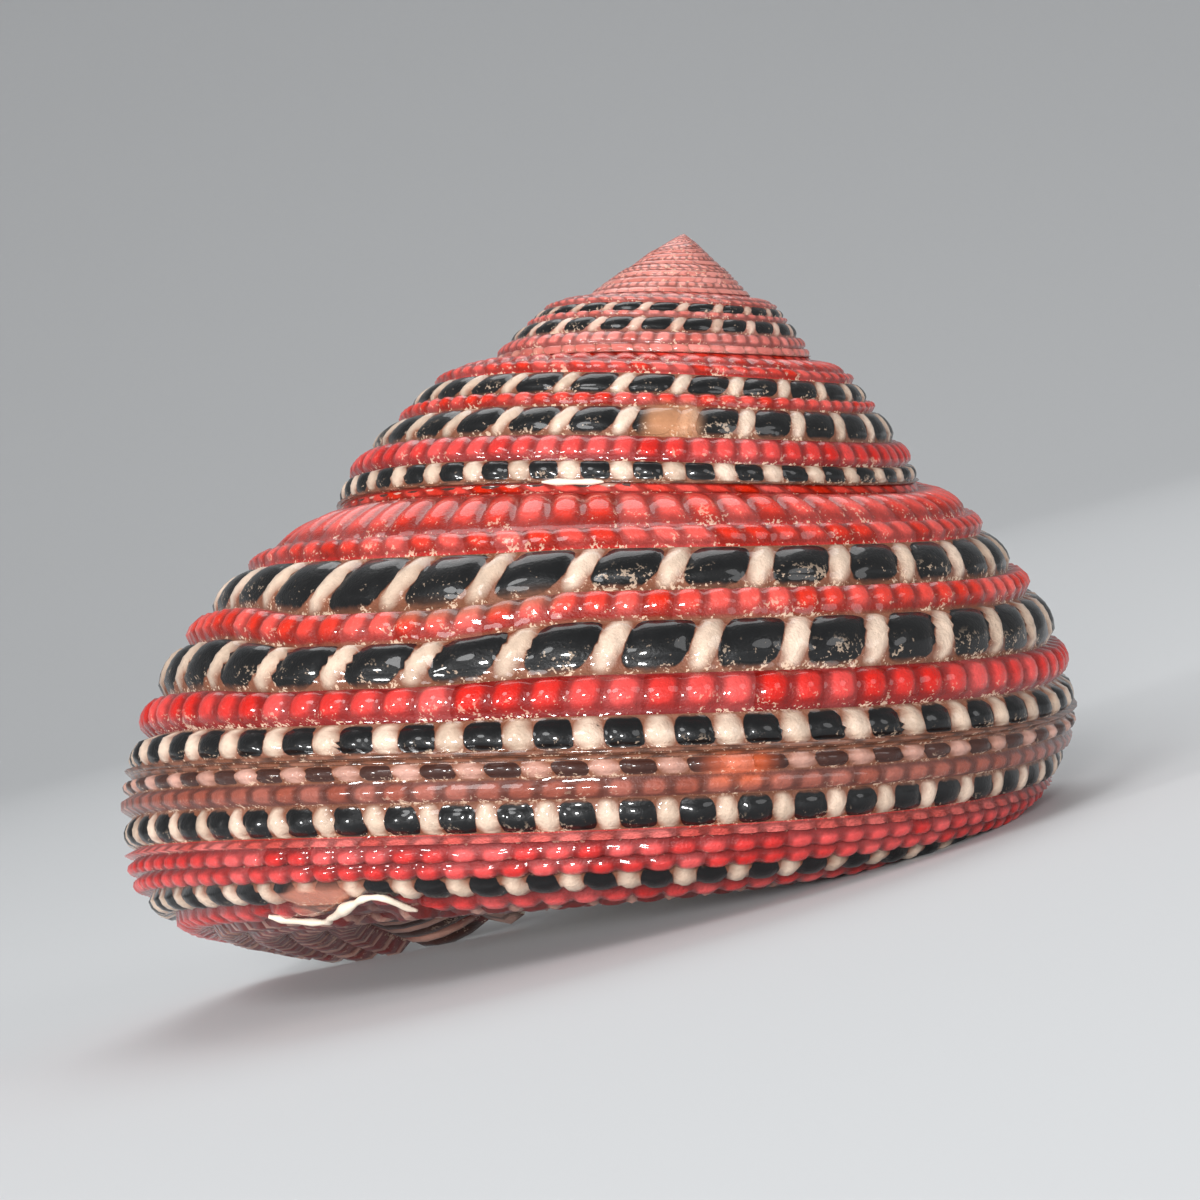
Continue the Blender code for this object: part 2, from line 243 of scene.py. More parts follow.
# Where a cord runs on the section (low and high), its rows of faces, its relief in millimetres at
# turn 1, its beads to a turn at turn 0 and how many more each turn, the light bead's share of a
# pair, the depth of the gaps between beads, and its colours
Cord = namedtuple("Cord", "name low high rows relief beads more share gap light dark groove")
CORDS = tuple(Cord(*row) for row in (
    ("seam", 0.00, 0.06, 1, 0.10, 50, 11, 1.0, 0.0, CORAL, CORAL, DARK_RED),
    ("shoulder", 0.06, 1.24, 7, 0.24, 50, 11, 1.0, 0.85, CORAL, CORAL, DEEP_CORAL),
    ("shoulder_line", 1.24, 1.68, 4, 0.15, 62, 13, 1.0, 0.62, CORAL, CORAL, DEEP_CORAL),
    ("upper_checks", 1.68, 2.58, 6, 0.30, 24, 4, 0.29, 0.80, CREAM, BLACK, TAN),
    ("thin", 2.58, 3.26, 4, 0.30, 68, 19, 1.0, 0.66, CORAL, CORAL, TAN),
    ("middle_checks", 3.26, 4.54, 6, 0.34, 25.5, 5, 0.30, 0.80, CREAM, BLACK, TAN),
    ("strong", 4.54, 5.50, 6, 0.38, 68, 12, 1.0, 0.66, CRIMSON, CRIMSON, DARK_RED),
    ("lower_checks", 5.50, 6.62, 5, 0.32, 33.5, 10, 0.43, 0.80, CREAM, BLACK, TAN),
    ("tan_line", 6.62, 7.00, 2, 0.10, 60, 10, 1.0, 0.3, TAN, TAN, TAN),
    ("tan_edge", 7.00, 7.20, 1, 0.14, 60, 10, 1.0, 0.3, TAN, TAN, TAN),
    ("brown", 7.20, 7.98, 4, 0.26, 36, 10, 0.46, 0.85, PINK_WHITE, BROWN, TAN),
    ("pink_line", 7.98, 8.60, 3, 0.14, 80, 16, 1.0, 0.35, RUST, RUST, TAN),
    ("rim_checks", 8.60, 9.50, 5, 0.32, 41, 10, 0.38, 0.80, CREAM, BLACK, TAN),
    ("rose", 9.50, 9.80, 2, 0.18, 82, 20, 1.0, 0.60, ROSE, ROSE, CRIMSON),
    ("crimson", 9.80, 10.60, 4, 0.28, 80, 16, 1.0, 0.62, LOW_RED, LOW_RED, DARK_RED),
    ("beads", 10.60, 11.50, 5, 0.28, 84, 16, 1.0, 0.66, LOW_RED, LOW_RED, DARK_RED),
    ("base_checks", 11.50, 12.50, 5, 0.28, 40, 9, 0.42, 0.80, CREAM, BLACK, TAN),
    ("pink", 12.50, 13.40, 4, 0.26, 72, 12, 1.0, 0.66, LOW_RED, LOW_RED, DARK_RED),
    ("base_line_1", 13.40, 14.00, 3, 0.20, 52, 8, 0.30, 0.70, PINK_WHITE, MAROON, MAROON),
    ("base_line_2", 14.00, 14.60, 4, 0.18, 66, 8, 0.26, 0.70, PINK_WHITE, DARK_RED, MAROON),
    ("base_line_3", 14.60, 15.15, 4, 0.18, 48, 6, 0.30, 0.70, PINK_WHITE, MAROON, MAROON),
    ("base_line_4", 15.15, 15.65, 3, 0.18, 56, 6, 0.26, 0.70, PINK_WHITE, DARK_RED, MAROON),
    ("navel_cord", 15.65, 16.55, 5, 0.32, 26, 3, 0.45, 0.80, PINK_WHITE, BROWN, MAROON),
    ("navel_edge", 16.55, 17.00, 2, 0.10, 40, 4, 1.0, 0.2, PINK_WHITE, PINK_WHITE, TAN),
))
NAMES = [cord.name for cord in CORDS]
LOWER_CHECKS = NAMES.index("lower_checks")
# The side of the shell ends at the seam, and the base begins there
SIDE = range(NAMES.index("tan_edge"))
BASE = range(NAMES.index("tan_edge"), len(CORDS))
print(len(CORDS), "cords;", sum(cord.rows for cord in CORDS), "rows of faces across the section")

# %% [markdown]
# ## Beads in the surface
#
# Across a cord the surface rises and falls like half a circle. Along it every bead does the same, so
# a bead is a small dome. No two beads are quite alike. A bump in the material could fake them, but
# they stand out at the shell's outline and throw shadows, so they are in the surface itself. Where
# the shell once broke, the new shell grew smooth, and a ragged white edge was left.

# %% Beads, wear and the healed break
# Turn, height and thickness of the broken margin
BREAK_EDGE = (
    (1.401, 12.74, 0.5), (1.398, 12.95, 1.2), (1.394, 13.19, 0.8), (1.390, 13.34, 1.1),
    (1.386, 13.40, 0.7), (1.381, 13.32, 1.1), (1.376, 13.10, 0.8), (1.371, 12.95, 1.0),
    (1.366, 12.75, 1.2), (1.361, 12.52, 1.8), (1.357, 12.36, 1.4), (1.353, 12.20, 0.8),
    (1.349, 12.02, 1.1), (1.345, 11.95, 0.7), (1.341, 12.00, 1.0), (1.338, 12.30, 0.8),
    (1.336, 12.62, 0.9), (1.334, 12.80, 0.4),
)
# The same for a bare white edge at the seam of the last whorl
SEAM_EDGE = (
    (0.284, 6.93, 0.3), (0.290, 6.94, 0.9), (0.299, 6.95, 0.7), (0.308, 6.94, 1.0), (0.316, 6.93, 0.3),
)
# Windows of the smooth healed surface and of the hollow under the broken margin: from, to, softness
SCAR_TURNS, SCAR_HEIGHTS, SCAR_ABOVE = (1.354, 1.386, 0.012), (11.7, 14.0, 0.3), (-1.5, 0.05, 0.3)
SUNK_TURNS, SUNK_BELOW = (1.330, 1.408, 0.012), (0.0, 1.4, 0.25)
# How far below the crests the healed surface lies, and how much the beads of the tip are worn
HEALED_LEVEL, BEAD_WEAR, BEAD_WEAR_SPAN = 0.45, 0.45, 0.8
# How far the beads lean, as a share of a bead: some cords by name, then check and plain cords
SLANTS = {
    "seam": -0.26, "shoulder": -0.26, "shoulder_line": -0.26,
    "upper_checks": 0.09, "middle_checks": 0.09,
}
CHECK_SLANT, PLAIN_SLANT = -0.05, 0.02
# Each cord's first bead starts a little later, and counts stay above zero back to the tip
CORD_SHIFT, FIRST_COUNT = 0.37, 400
# How steep the ends of beads are, how square light and dark beads are, and how uneven all are
PAIR_END, PLAIN_END, LIGHT_SQUARE, DARK_SQUARE, UNEVEN = 0.98, 0.97, 2.0, 2.8, 0.16
# Large odd numbers that leave no pattern
SCATTER_FIRST, SCATTER_SECOND, SCATTER_SIZE = 12.9898, 78.233, 43758.5453


def mixed(first, second, share):
    """Between two values."""
    return first + (second - first) * share


def window(value, first, last, soft):
    """One inside a range and zero outside, with soft ends."""
    rise = np.clip((value - first) / soft + 0.5, 0, 1)
    fall = np.clip((last - value) / soft + 0.5, 0, 1)
    return rise * rise * (3 - 2 * rise) * fall * fall * (3 - 2 * fall)


def scattered(first, second):
    """A number from 0 to 1 for each pair of whole numbers, without any order."""
    return np.modf(np.abs(np.sin(first * SCATTER_FIRST + second * SCATTER_SECOND) * SCATTER_SIZE))[0]


def slant_of(number):
    """How far the beads of a cord lean, as a share of a bead."""
    cord = CORDS[number]
    return SLANTS.get(cord.name, CHECK_SLANT if cord.share < 1 else PLAIN_SLANT)


def laid(beads, more, number, turn):
    """How many beads, or pairs of beads, were laid by a turn on cords with these numbers."""
    return beads * turn + more * turn ** 2 / 2 + CORD_SHIFT * number + FIRST_COUNT


def bead_count(number, cross, turn):
    """The count of beads at a place across a cord, as beads lean to one side or the other."""
    cord = CORDS[number]
    return laid(cord.beads, cord.more, number, turn) - slant_of(number) * cross


def bead_dome(number, cross, turn):
    """Height of the beads along a cord, from 0 in the gaps to 1 on top."""
    count = bead_count(number, cross, turn)
    whole = np.floor(count)
    share = count - whole
    light = CORDS[number].share
    if light < 1:
        on_light = share < light
        along = np.where(on_light, share / light, (share - light) / (1 - light)) * 2 - 1
        square = np.where(on_light, LIGHT_SQUARE, DARK_SQUARE)
        dome = np.sqrt(1 - np.clip(np.abs(along) * PAIR_END, 0, 1) ** square)
    else:
        along = share * 2 - 1
        dome = np.sqrt(1 - (along * PLAIN_END) ** 2)
    uneven = 1 - UNEVEN * scattered(whole, float(number))
    return dome * uneven


def break_height(turn):
    """Height of the section at which the broken margin runs, at each turn."""
    turns, heights, _ = zip(*BREAK_EDGE[::-1])
    return np.interp(turn, turns, heights)


def scar(turn, height):
    """Where the surface healed without beads, above the broken margin."""
    above = window(height - break_height(turn), *SCAR_ABOVE)
    return window(turn, *SCAR_TURNS) * window(height, *SCAR_HEIGHTS) * above


def under_break(turn, height):
    """Where the surface is sunk, just below the broken margin."""
    below = window(height - break_height(turn), *SUNK_BELOW)
    return window(turn, *SUNK_TURNS) * below


def relief(number, cross, turn, height):
    """How far below the crest the surface lies, as a share of the cord's relief."""
    worn = BEAD_WEAR * before(turn, WEAR_TURN, BEAD_WEAR_SPAN)
    dome = 1 - CORDS[number].gap * (1 - worn) * (1 - bead_dome(number, cross, turn))
    up = math.sqrt(max(0.0, 1 - cross ** 2)) * dome
    return mixed(1 - up, HEALED_LEVEL, scar(turn, height))


laid_before, laid_after = bead_count(NAMES.index("strong"), 0.0, np.array([0.0, 1.0]))
print("the strong cord has", round(laid_after - laid_before), "beads from turn 0 to turn 1")


# %% [markdown]
# ## Laying the surface
#
# A strip of surface is a grid whose rows run along the cords and whose columns are the moments of
# growth. Columns lie close together on the last whorl and further apart on the old, small ones. The
# shell could be cut from a solid, but a grid keeps every row on its cord, so no bead is blurred.
# Each face remembers its cord: its colours, how many beads were laid before it, and where across
# the cord it lies.

# %% Strips of surface
# Worn and healed patches: from and to turn, from and to height, colour
PATCHES = (
    (0.236, 0.266, 3.20, 4.60, paint(206, 148, 110)),
    (1.214, 1.232, 7.20, 8.30, paint(206, 92, 50)),
    (1.285, 1.345, 2.62, 2.95, paint(150, 104, 80)),
)
PATCH_SHARE, PATCH_TURN_EDGE, PATCH_HEIGHT_EDGE = 0.85, 0.012, 0.3
# Where cords drift: a height on the last whorl, and the same cord's height on the spire and by the
# mouth. The spire's heights fade in before a turn over a span, the mouth's ones in a window of turns
DRIFT = (
    (0.0, 0.0, 0.0), (1.68, 1.56, 1.75), (2.58, 2.42, 2.90), (3.26, 2.92, 3.70), (4.54, 4.15, 4.72),
    (5.50, 5.42, 5.56), (6.62, 6.70, 6.64), (7.0, 7.0, 7.0), (17.0, 17.0, 17.0),
)
SPIRE_DRIFT, MOUTH_DRIFT = (1.0, 0.5), (1.305, 1.410, 0.060)
# How far the edge of a covered whorl, and the surface under the broken margin, lie below the crests
COVERED_DEPTH, SUNK_DEPTH = 0.10, 0.22
# Columns: up to each turn, the step between them
COLUMN_STEPS = ((-2.4, 1 / 80), (-1.4, 1 / 120), (-0.4, 1 / 210), (0.55, 1 / 340), (9.0, 1 / 500))
# The turn before which whorls are pale, the span of turns over which that fades in, and how pale
# red cords and light beads are then; the same for the tip, with its dark beads
YOUNG, YOUNG_RED, YOUNG_LIGHT = (-0.40, 0.25), 0.9, 0.4
OLD, OLD_DARK = (-1.35, 0.25), 0.90


def rows_of(numbers):
    """Heights of the rows on some cords, with the cord of each row of faces."""
    heights, cords = [CORDS[numbers[0]].low], []
    for number in numbers:
        cord = CORDS[number]
        heights += [mixed(cord.low, cord.high, (step + 1) / cord.rows) for step in range(cord.rows)]
        cords += [number] * cord.rows
    return heights, cords


def lead(height):
    """How far the growing edge is ahead at a height of the section."""
    return LIP_LEAD * max(0.0, 1 - height / SEAM)


def wandered(height, turn):
    """Place and normal of a height at each turn, as the cords drift over the section."""
    heights, on_spire, by_mouth = zip(*DRIFT)
    place, normal = section(height, turn)
    early = before(turn, *SPIRE_DRIFT)[..., None]
    late = window(turn, *MOUTH_DRIFT)[..., None]
    spire_place, spire_normal = section(float(np.interp(height, heights, on_spire)), turn)
    mouth_place, mouth_normal = section(float(np.interp(height, heights, by_mouth)), turn)
    place = place + early * (spire_place - place) + late * (mouth_place - place)
    return place, normal + early * (spire_normal - normal) + late * (mouth_normal - normal)


def surface_row(row, heights, cords, turn):
    """One row of the surface, at each of the given turns."""
    height = heights[row]
    number = cords[min(row, len(cords) - 1)]
    cord = CORDS[number]
    cross = (height - cord.low) / (cord.high - cord.low) * 2 - 1
    relief_here = cord.relief
    if abs(cross) > 0.999:
        # Between two cords the groove is as deep as half of both
        other = number + (1 if cross > 0 else -1)
        other = min(max(other, 0), len(CORDS) - 1)
        relief_here = (relief_here + CORDS[other].relief) / 2
    place, normal = wandered(height, turn)
    scale = size_at(turn)
    depth = relief_here * relief(number, cross, turn, height) * scale
    covered = 1.0 if height < 0.01 else 0.0
    if abs(height - SEAM) < 0.01:
        covered = (turn < MOUTH_TURN - 1 + LIP_LEAD).astype(float)
    place = place - normal * (depth * (1 - covered))[..., None]
    place[..., 0] -= COVERED_DEPTH * scale * covered
    return place - normal * (SUNK_DEPTH * under_break(turn, height))[..., None]


def new_strip(name, points, material, lining=False):
    """A mesh object made of a grid of points, given as columns of rows.

    Its faces point out of the shell, or into the hollow when it is a lining.
    """
    columns, rows = points.shape[:2]
    bm = bmesh.new()
    bmesh.ops.create_grid(bm, x_segments=rows - 1, y_segments=columns - 1, size=1)
    if not lining:
        bmesh.ops.reverse_faces(bm, faces=bm.faces)
    mesh = bpy.data.meshes.new(name)
    bm.to_mesh(mesh)
    bm.free()
    mesh.vertices.foreach_set("co", points.reshape(-1).astype(np.float32))
    mesh.materials.append(material)
    mesh.shade_smooth()
    mesh.update()
    strip = bpy.data.objects.new(name, mesh)
    bpy.context.scene.collection.objects.link(strip)
    return strip


def corners(strip, rows):
    """For each corner of each face: its column, its row, and the face's row."""
    vertex = np.empty(len(strip.data.loops), np.int32)
    strip.data.loops.foreach_get("vertex_index", vertex)
    column, row = vertex // rows, vertex % rows
    face_row = np.repeat(row.reshape(-1, 4).min(1), 4)
    return column, row, face_row


def write_corners(strip, counts, across, colours, share):
    """Stores on the faces' corners what the materials read."""
    mesh = strip.data
    beads = mesh.uv_layers.new(name="Beads")
    beads.data.foreach_set("uv", np.stack([counts, across], -1).reshape(-1).astype(np.float32))
    for name, values in colours.items():
        layer = mesh.attributes.new(name, "FLOAT_COLOR", "CORNER")
        values = np.concatenate([values, np.ones((len(values), 1))], -1)
        layer.data.foreach_set("color", values.reshape(-1).astype(np.float32))
    layer = mesh.attributes.new("light_share", "FLOAT", "CORNER")
    layer.data.foreach_set("value", share.astype(np.float32))


def column_turns(first, last):
    """The moments of growth at which the surface is drawn."""
    turns = [first]
    while turns[-1] < last - 1e-6:
        step = next(step for limit, step in COLUMN_STEPS if turns[-1] < limit)
        turns.append(min(last, turns[-1] + step))
    return np.array(turns)


def of_cords(name, cord):
    """One entry of the table, for each of many cords."""
    return np.array([getattr(entry, name) for entry in CORDS])[cord]


def coloured(strip, heights, cords, turns_grid):
    """Gives a strip its cords' colours and bead counts."""
    column, row, face_row = corners(strip, len(heights))
    heights, cords = np.array(heights), np.array(cords)
    cord = cords[face_row]
    turn = turns_grid[column, row]
    low, high = of_cords("low", cord), of_cords("high", cord)
    across = cord + np.clip((heights[row] - low) / (high - low), 0.001, 0.999)
    share = of_cords("share", cord).astype(float)
    slant = np.array([slant_of(number) for number in range(len(CORDS))])[cord] * ((across - cord) * 2 - 1)
    counts = laid(of_cords("beads", cord), of_cords("more", cord), cord, turn) - slant
    light, dark, groove = (of_cords(name, cord) for name in ("light", "dark", "groove"))
    # The oldest whorls are worn to pink, and the checks fade in as the snail grows up
    young = before(turn, *YOUNG)[:, None]
    old = before(turn, *OLD)[:, None]
    pale = np.array(mixed(np.array(ROSE), np.array(APEX), 0.6))
    reds = (share >= 1)[:, None]
    pale_light = mixed(light, np.array(PINK_WHITE), YOUNG_LIGHT * young)
    light = np.where(reds, mixed(light, pale, YOUNG_RED * young), pale_light)
    dark = np.where(reds, mixed(dark, pale, YOUNG_RED * young), dark)
    lowest = (cord == LOWER_CHECKS)[:, None]
    dark = np.where(lowest, mixed(dark, pale, young), dark)
    light = np.where(lowest, mixed(light, pale, young), light)
    light, dark = mixed(light, np.array(APEX), old), mixed(dark, np.array(APEX), old * OLD_DARK)
    groove = mixed(groove, np.array(APEX) * 0.6, np.maximum(young * 0.4, old))
    healed = scar(turn, heights[row])[:, None]
    # Painted shadow: under the broken margin the colours are darkened towards maroon
    painted_shadow_under_break = 0.55 * under_break(turn, heights[row])[:, None]
    light, dark, groove = (
        mixed(mixed(layer, np.array(HEALED), healed), np.array(MAROON) * 0.6, painted_shadow_under_break)
        for layer in (light, dark, groove)
    )
    for first, last, low, high, tint in PATCHES:
        inside_turns = window(turn, first, last, PATCH_TURN_EDGE)
        inside_heights = window(heights[row], low, high, PATCH_HEIGHT_EDGE)
        spot = PATCH_SHARE * (inside_turns * inside_heights)[:, None]
        light, dark, groove = (mixed(layer, np.array(tint), spot) for layer in (light, dark, groove))
    write_corners(strip, counts, across, {"light": light, "dark": dark, "groove": groove}, share)


all_columns = column_turns(TIP_TURN, MOUTH_TURN)
print("the surface is drawn at", len(all_columns), "moments of growth")

# %% [markdown]
# ## The surface's colours
#
# The snail lays its colours into the shell while it grows. A picture wrapped round the shell would
# be stretched at the whorls, and would show a seam. So the material counts instead: it reads how
# many beads were laid before a place and how far across the cord it is. From this it finds the
# light bead, the rounded dark bead and the groove between cords, and it paints shade into the gaps
# between beads. A fine grain and a few pale flecks, partly wear and partly painted highlights,
# break it up. The outside is glossy, like glazed pottery.

# %% Sums on sockets


class Wire:
    """A socket of a material on which sums are written like numbers."""

    def __init__(self, tree, socket):
        self.tree, self.socket = tree, socket

    def add(self, kind, settings, values, output=0):
        """Any node: its kind, its settings, then its values or wires by input."""
        return new_node(self.tree, kind, settings, values, output)

    def sum(self, operation, *values):
        return self.add("ShaderNodeMath", {"operation": operation}, dict(enumerate(values)))

    def __add__(self, other):
        return self.sum("ADD", self, other)

    def __radd__(self, other):
        return self.sum("ADD", other, self)

    def __sub__(self, other):
        return self.sum("SUBTRACT", self, other)

    def __rsub__(self, other):
        return self.sum("SUBTRACT", other, self)

    def __mul__(self, other):
        return self.sum("MULTIPLY", self, other)

    def __rmul__(self, other):
        return self.sum("MULTIPLY", other, self)

    def __truediv__(self, other):
        return self.sum("DIVIDE", self, other)

    def __rtruediv__(self, other):
        return self.sum("DIVIDE", other, self)

    def __pow__(self, other):
        return self.sum("POWER", self, other)

    def __rpow__(self, other):
        return self.sum("POWER", other, self)

    def __abs__(self):
        return self.sum("ABSOLUTE", self)

    def share(self):
        return self.sum("FRACT", self)

    def whole(self):
        return self.sum("FLOOR", self)

    def smooth(self, low, high):
        """Zero below low and one above high, with a smooth step between."""
        settings = {"interpolation_type": "SMOOTHSTEP"}
        return self.add("ShaderNodeMapRange", settings, {"Value": self, "From Min": low, "From Max": high})

    def blend(self, first, second):
        """From the first colour to the second by this amount."""
        settings = {"data_type": "RGBA"}
        return self.add("ShaderNodeMix", settings, {"Factor": self, 6: first, 7: second}, 2)


def new_node(tree, kind, settings, values, output=0):
    """A node with its settings and its values or wires, as a wire from one of its outputs."""
    node = tree.nodes.new(kind)
    for name, value in settings.items():
        setattr(node, name, value)
    for name, value in values.items():
        slot = node.inputs[name]
        if isinstance(value, Wire):
            tree.links.new(value.socket, slot)
        else:
            slot.default_value = value
    return Wire(tree, node.outputs[output])


def new_material(name):
    """An empty material with one Principled surface, its tree and that surface's node."""
    material = bpy.data.materials.new(name)
    material.use_nodes = True
    tree = material.node_tree
    return material, tree, tree.nodes["Principled BSDF"]


def colour_of(red, green, blue):
    """A colour as eyes see it, ready for a socket."""
    return (*paint(red, green, blue), 1.0)


operators = [name.strip("_") for name in vars(Wire) if name in vars(float) and name != "__doc__"]
print("a wire knows", ", ".join(operators))

# %% The glossy beaded outside
outside, tree, surface = new_material("strawberry_shell")
beads = new_node(tree, "ShaderNodeUVMap", {"uv_map": "Beads"}, {})
count = new_node(tree, "ShaderNodeSeparateXYZ", {}, {0: beads}, 0)
across = new_node(tree, "ShaderNodeSeparateXYZ", {}, {0: beads}, 1)
light = new_node(tree, "ShaderNodeAttribute", {"attribute_name": "light"}, {}, "Color")
dark = new_node(tree, "ShaderNodeAttribute", {"attribute_name": "dark"}, {}, "Color")
groove = new_node(tree, "ShaderNodeAttribute", {"attribute_name": "groove"}, {}, "Color")
light_share = new_node(tree, "ShaderNodeAttribute", {"attribute_name": "light_share"}, {}, "Fac")
place = new_node(tree, "ShaderNodeTexCoord", {}, {}, "Object")
in_mm = new_node(tree, "ShaderNodeVectorMath", {"operation": "SCALE"}, {0: place, "Scale": 1000.0})
grain = new_node(tree, "ShaderNodeTexNoise", {}, {"Vector": in_mm, "Scale": 5.0, "Detail": 4.0})
patches = new_node(tree, "ShaderNodeTexNoise", {}, {"Vector": in_mm, "Scale": 0.9, "Detail": 3.0})
fine = new_node(tree, "ShaderNodeTexNoise", {}, {"Vector": in_mm, "Scale": 16.0, "Detail": 2.0})

share = count.share()
cross = abs(across.share() * 2.0 - 1.0)
which = new_node(tree, "ShaderNodeCombineXYZ", {}, {0: count.whole(), 1: across.whole()})
chance = new_node(tree, "ShaderNodeTexWhiteNoise", {"noise_dimensions": "2D"}, {"Vector": which}, "Value")

# Where the dark bead is: a rounded shape between two light ones
wobble = (grain - 0.5) * 0.16
dark_along = abs((share - light_share) / (1.001 - light_share) * 2.0 - 1.0)
round_dark = dark_along ** 3.5 + (cross * 1.03) ** 3.5 + wobble * 2.0
is_dark = (1.0 - round_dark.smooth(0.86, 1.02)) * (share - light_share).smooth(-0.01, 0.01)
has_dark = 1.0 - light_share.smooth(0.98, 0.99)

# Painted shade: red beads are paler on top and darker in the gaps, white beads darker at their rims
along = abs(share * 2.0 - 1.0)
top = (1.0 - along.smooth(0.15, 0.95)) * (1.0 - cross.smooth(0.2, 0.9))
# A darker copy of each cord's colour: the painted shade between beads
painted_shade_red = new_node(tree, "ShaderNodeHueSaturation", {}, {"Value": 0.38, "Color": light})
red_bead = (top * 0.9 + 0.1 + wobble * 1.4).smooth(0.05, 0.7).blend(painted_shade_red, light)
light_along = abs(share / light_share * 2.0 - 1.0)
round_light = light_along ** 3.0 + cross ** 4.5 + wobble * 1.6
is_light = (1.0 - round_light.smooth(0.80, 1.15)) * (1.0 - (share - light_share).smooth(-0.02, 0.03))
shaded = (light_along * 0.7 + cross * 0.5 + wobble * 2.5).smooth(0.35, 1.15)
light_bead = shaded.blend(light, groove)
check = is_light.blend(groove, light_bead)
check = is_dark.blend(check, dark)
colour = has_dark.blend(red_bead, check)
in_groove = (cross + wobble).smooth(0.80, 0.97)
colour = (in_groove * 0.75).blend(colour, groove)
brightness = 0.78 + chance * 0.26 + (patches - 0.5) * 0.4 + (grain - 0.5) * 0.5
settings = {"Value": brightness, "Saturation": 1.05 - chance * 0.12, "Color": colour}
tinted = new_node(tree, "ShaderNodeHueSaturation", {}, settings)

# Pale flecks, partly wear and partly painted highlights, lie mostly on the lower half of a cord and in the
# grooves
below = (across.share() * 2.0 - 1.0).smooth(-0.1, 0.7)
flecks_and_glints = (grain * 0.5 + patches * 0.3 + fine * 0.5 + in_groove * 0.04).smooth(0.735, 0.775)
flecks_and_glints = flecks_and_glints * (below * 0.8 + in_groove * 0.5)
finished = (flecks_and_glints * 0.55).blend(tinted, colour_of(226, 198, 172))

tree.links.new(finished.socket, surface.inputs["Base Color"])
gloss = 0.30 + grain * 0.20 + in_groove * 0.3
tree.links.new(gloss.socket, surface.inputs["Roughness"])
bump_height = (fine * 0.5 + grain * 0.5) * (1.0 - is_dark * has_dark * 0.6)
bump = new_node(tree, "ShaderNodeBump", {}, {"Strength": 0.8, "Distance": 0.00006, "Height": bump_height})
tree.links.new(bump.socket, surface.inputs["Normal"])
surface.inputs["Coat Weight"].default_value = 0.6
surface.inputs["Coat Roughness"].default_value = 0.05
surface.inputs["Specular IOR Level"].default_value = 0.22
print("the outside is made of", len(tree.nodes), "nodes")

# %% [markdown]
# ## The pearly inside
#
# The hollow is lined with mother of pearl: pale, smooth, with a faint play of colours that comes
# from many thin layers. A plain glossy white would look like glass, so a thin film is laid on it.

# %% Mother of pearl
inside, tree, surface = new_material("mother_of_pearl")
place = new_node(tree, "ShaderNodeTexCoord", {}, {}, "Object")
in_mm = new_node(tree, "ShaderNodeVectorMath", {"operation": "SCALE"}, {0: place, "Scale": 1000.0})
clouds = new_node(tree, "ShaderNodeTexNoise", {}, {"Vector": in_mm, "Scale": 0.8, "Detail": 3.0})
pearl = clouds.smooth(0.35, 0.65).blend(colour_of(238, 226, 210), colour_of(214, 214, 214))
tree.links.new(pearl.socket, surface.inputs["Base Color"])
surface.inputs["Roughness"].default_value = 0.22
surface.inputs["Coat Weight"].default_value = 0.6
surface.inputs["Coat Roughness"].default_value = 0.08
surface.inputs["Thin Film Thickness"].default_value = 380.0
surface.inputs["Thin Film IOR"].default_value = 1.5
print("the lining is made of", len(tree.nodes), "nodes")

# %% [markdown]
# ## The outside of the shell
#
# One long strip makes the side of all whorls, from the tip to the lip. A second one makes the base,
# from the seam to the edge of the navel, and a third goes up the wall of the navel. The base of the
# older whorls is covered by the newer ones, so it is drawn only from where it can be seen.

# %% Side and base
BASE_START = 0.27
parts, margins = [], []
for name, numbers, first in (("side", SIDE, TIP_TURN), ("base", BASE, BASE_START)):
    heights, cords = rows_of(numbers)
    columns = all_columns[all_columns >= first]
    turns_grid = np.stack([columns + lead(height) for height in heights], 1)
    rows = [surface_row(row, heights, cords, turns_grid[:, row]) for row in range(len(heights))]
    places = np.stack(rows, 1)
    margins.append((heights, places[-1], turns_grid[-1]))
    strip = new_strip(name, laid_down(round_axis(places, turns_grid)), outside)
    coloured(strip, heights, cords, turns_grid)
    parts.append(strip)
    print(name, "has", len(columns), "columns and", len(heights), "rows")

# %% The wall of the navel
# The navel is closed at one turn, is drawn from just after it, and opens over a span of turns
NAVEL_CLOSED, NAVEL_START, NAVEL_SPAN = 0.21, 0.22, 0.4
# The count and the cord that the material reads there are no real ones. The count goes up and down
# along the growth, by so much and at such a pace, which leaves faint growth lines of painted shade
PLAIN_COUNT, PLAIN_CORD, LINE_DEPTH, LINE_PACE = 400.5, 30.5, 0.30, 170


def navel_margin(turn):
    """The edge of the navel at each turn, drawn in where the navel closes."""
    margin = on_spiral(SECTION[-1], turn)
    margin[:, 0] *= np.clip((turn - NAVEL_CLOSED) / NAVEL_SPAN, 0, 1) ** 0.5
    return margin


columns = column_turns(NAVEL_START, MOUTH_TURN)[::3]
columns = np.append(columns, MOUTH_TURN)
above = navel_margin(np.maximum(columns - 1, NAVEL_CLOSED))
normal = section(LAST, columns)[1]
edge_relief = CORDS[-1].relief * size_at(columns)
margin_worn = navel_margin(columns) - normal * edge_relief[:, None]
steps = [0.0, 0.05, 0.2, 0.4, 0.6, 0.8, 1.0]
wall = np.stack([mixed(margin_worn, above, step) for step in steps], 1)
turns_grid = np.repeat(columns[:, None], len(steps), 1)
navel = new_strip("navel", laid_down(round_axis(wall, turns_grid)), outside)
column, row, _ = corners(navel, len(steps))
flat = np.ones(len(row))
plain = {key: np.tile(np.array(PEARL), (len(row), 1)) for key in ("light", "dark", "groove")}
counts = PLAIN_COUNT + LINE_DEPTH * np.sin(columns[column] * LINE_PACE)
write_corners(navel, counts, PLAIN_CORD * flat, plain, flat)
parts.append(navel)
print("at the mouth the navel's edge is", round(float(wall[-1, 0, 0]), 1), "mm from the axis")

